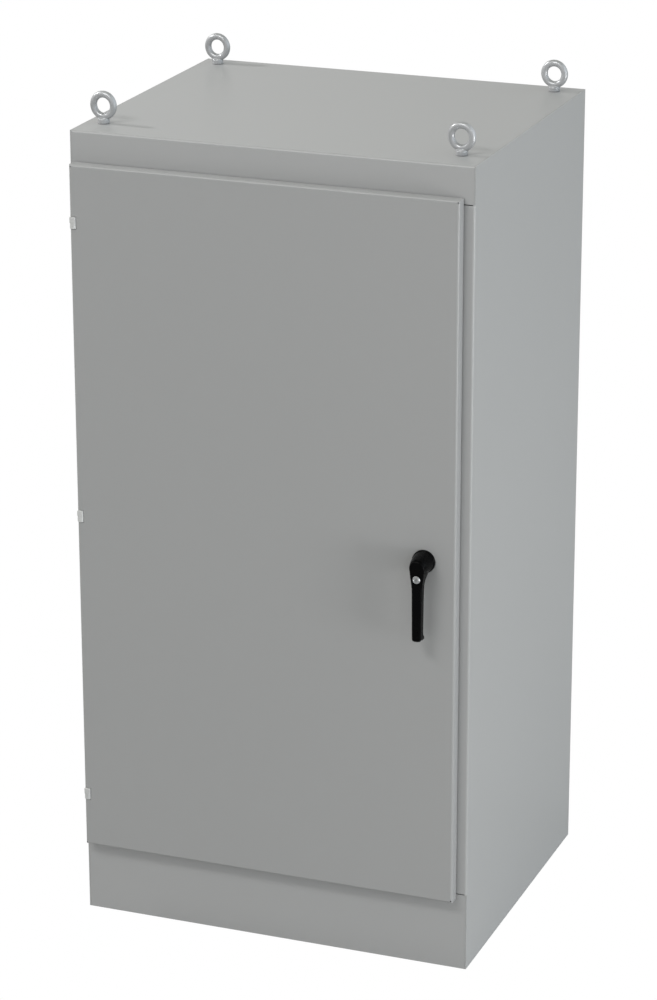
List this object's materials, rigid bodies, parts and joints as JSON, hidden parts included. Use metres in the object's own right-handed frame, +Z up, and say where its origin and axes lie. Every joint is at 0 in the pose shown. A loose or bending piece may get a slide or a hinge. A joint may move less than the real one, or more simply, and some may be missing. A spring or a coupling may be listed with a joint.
{
  "type": "automatic transfer switch",
  "caption": "Free-standing steel cabinet with one hinged door, lever handle, lifting eyes and a transfer switch on a sub-panel inside.",
  "frame": {"origin": "centre of the cabinet's footprint, on the floor, on the underside of the floor panel", "axes": "+Z up, -Y towards someone who faces the door, +X to their right"},
  "size_m": [0.917, 0.845, 1.9025],
  "materials": {
    "grey_paint": "light grey textured powder coat",
    "panel_paint": "white powder coat",
    "zinc": "bright zinc plate",
    "black_lever": "gloss black powder coat on die casting",
    "gasket_rubber": "closed-cell foam",
    "black_moulding": "glass-filled moulding",
    "brown_moulding": "phenolic moulding",
    "copper": "bare copper",
    "iron": "varnished laminations",
    "coil_tape": "varnished tape",
    "grey_plastic": "satin moulding",
    "red_plastic": "gloss moulding",
    "green_plastic": "gloss moulding"
  },
  "bodies": {
    "cabinet": {"left_side_panel": "grey_paint", "right_side_panel": "grey_paint", "top_panel": "grey_paint", "plinth_panel": "grey_paint", "back_panel": "grey_paint", "floor_panel": "grey_paint", "gland_plate": "zinc", "lifting_rail_left": "zinc", "lifting_rail_right": "zinc", "lifting_eye_front_left": "zinc", "lifting_eye_front_right": "zinc", "lifting_eye_back_left": "zinc", "lifting_eye_back_right": "zinc", "hinge_frame_leaf_bottom": "zinc", "hinge_frame_leaf_middle": "zinc", "hinge_frame_leaf_top": "zinc", "sub_panel": "panel_paint", "switch_base": "black_moulding", "arc_chutes_normal": "brown_moulding", "arc_chutes_emergency": "brown_moulding", "normal_terminals": "black_moulding", "emergency_terminals": "black_moulding", "load_terminals": "black_moulding", "solenoid_yoke": "iron", "solenoid_coil": "coil_tape", "controller_case": "black_moulding", "controller_cover": "grey_plastic", "control_transformer": "iron", "neutral_bar": "copper", "ground_bar": "copper", "wire_duct": "grey_plastic"},
    "door": {"door_panel": "grey_paint", "door_gasket": "gasket_rubber", "door_stiffener_left": "grey_paint", "door_stiffener_right": "grey_paint", "print_pocket": "black_moulding", "hinge_door_leaf_bottom": "zinc", "hinge_door_leaf_middle": "zinc", "hinge_door_leaf_top": "zinc", "handle_escutcheon": "black_lever", "upper_rod_guide": "zinc", "lower_rod_guide": "zinc"},
    "handle": {"handle_lever": "black_lever", "latch_cam": "zinc"},
    "key": {"key_plug": "zinc"},
    "upper_rod": {"upper_latch_rod": "zinc"},
    "upper_roller": {"upper_latch_roller": "black_moulding"},
    "lower_rod": {"lower_latch_rod": "zinc"},
    "lower_roller": {"lower_latch_roller": "black_moulding"},
    "transfer_shaft": {"contact_shaft": "black_moulding", "contact_blade_a": "copper", "contact_blade_b": "copper", "contact_blade_c": "copper", "manual_operator": "red_plastic", "throw_crank": "iron"},
    "plunger": {"solenoid_plunger": "iron"},
    "test_push": {"test_button": "green_plastic"},
    "reset_push": {"reset_button": "red_plastic"}
  },
  "joints": [
    {"name": "door_swing", "type": "hinge", "parent": "cabinet", "child": "door", "pos_m": [-0.443, -0.4095, 0.968], "axis": [0, 0, -1], "range_deg": [0, 180]},
    {"name": "handle_turn", "type": "hinge", "parent": "door", "child": "handle", "pos_m": [0.363, -0.4125, 0.966], "axis": [0, 1, 0], "range_deg": [0, 90]},
    {"name": "key_turn", "type": "hinge", "parent": "handle", "child": "key", "pos_m": [0.363, -0.4575, 0.94], "axis": [0, 1, 0], "range_deg": [0, 90]},
    {"name": "upper_rod_slide", "type": "slide", "parent": "door", "child": "upper_rod", "axis": [0, 0, -1], "range_m": [0, 0.024]},
    {"name": "lower_rod_slide", "type": "slide", "parent": "door", "child": "lower_rod", "axis": [0, 0, 1], "range_m": [0, 0.024]},
    {"name": "upper_roller_spin", "type": "hinge", "parent": "upper_rod", "child": "upper_roller", "pos_m": [0.3677, -0.3685, 1.6993], "axis": [1, 0, 0], "continuous": true},
    {"name": "lower_roller_spin", "type": "hinge", "parent": "lower_rod", "child": "lower_roller", "pos_m": [0.3583, -0.3685, 0.2307], "axis": [1, 0, 0], "continuous": true},
    {"name": "transfer_throw", "type": "hinge", "parent": "cabinet", "child": "transfer_shaft", "pos_m": [-0.04, 0.2418, 1.01], "axis": [1, 0, 0], "range_deg": [0, 40]},
    {"name": "plunger_slide", "type": "slide", "parent": "cabinet", "child": "plunger", "axis": [0, 0, -1], "range_m": [0, 0.022]},
    {"name": "test_button_press", "type": "slide", "parent": "cabinet", "child": "test_push", "axis": [0, 1, 0], "range_m": [0, 0.005], "stiffness_N_per_m": 300},
    {"name": "reset_button_press", "type": "slide", "parent": "cabinet", "child": "reset_push", "axis": [0, 1, 0], "range_m": [0, 0.005], "stiffness_N_per_m": 300}
  ],
  "couplings": [
    {"joint": "upper_rod_slide", "follows": "handle_turn", "m_per_rad": 0.015},
    {"joint": "lower_rod_slide", "follows": "handle_turn", "m_per_rad": 0.015},
    {"joint": "plunger_slide", "follows": "transfer_throw", "m_per_rad": 0.0315}
  ]
}
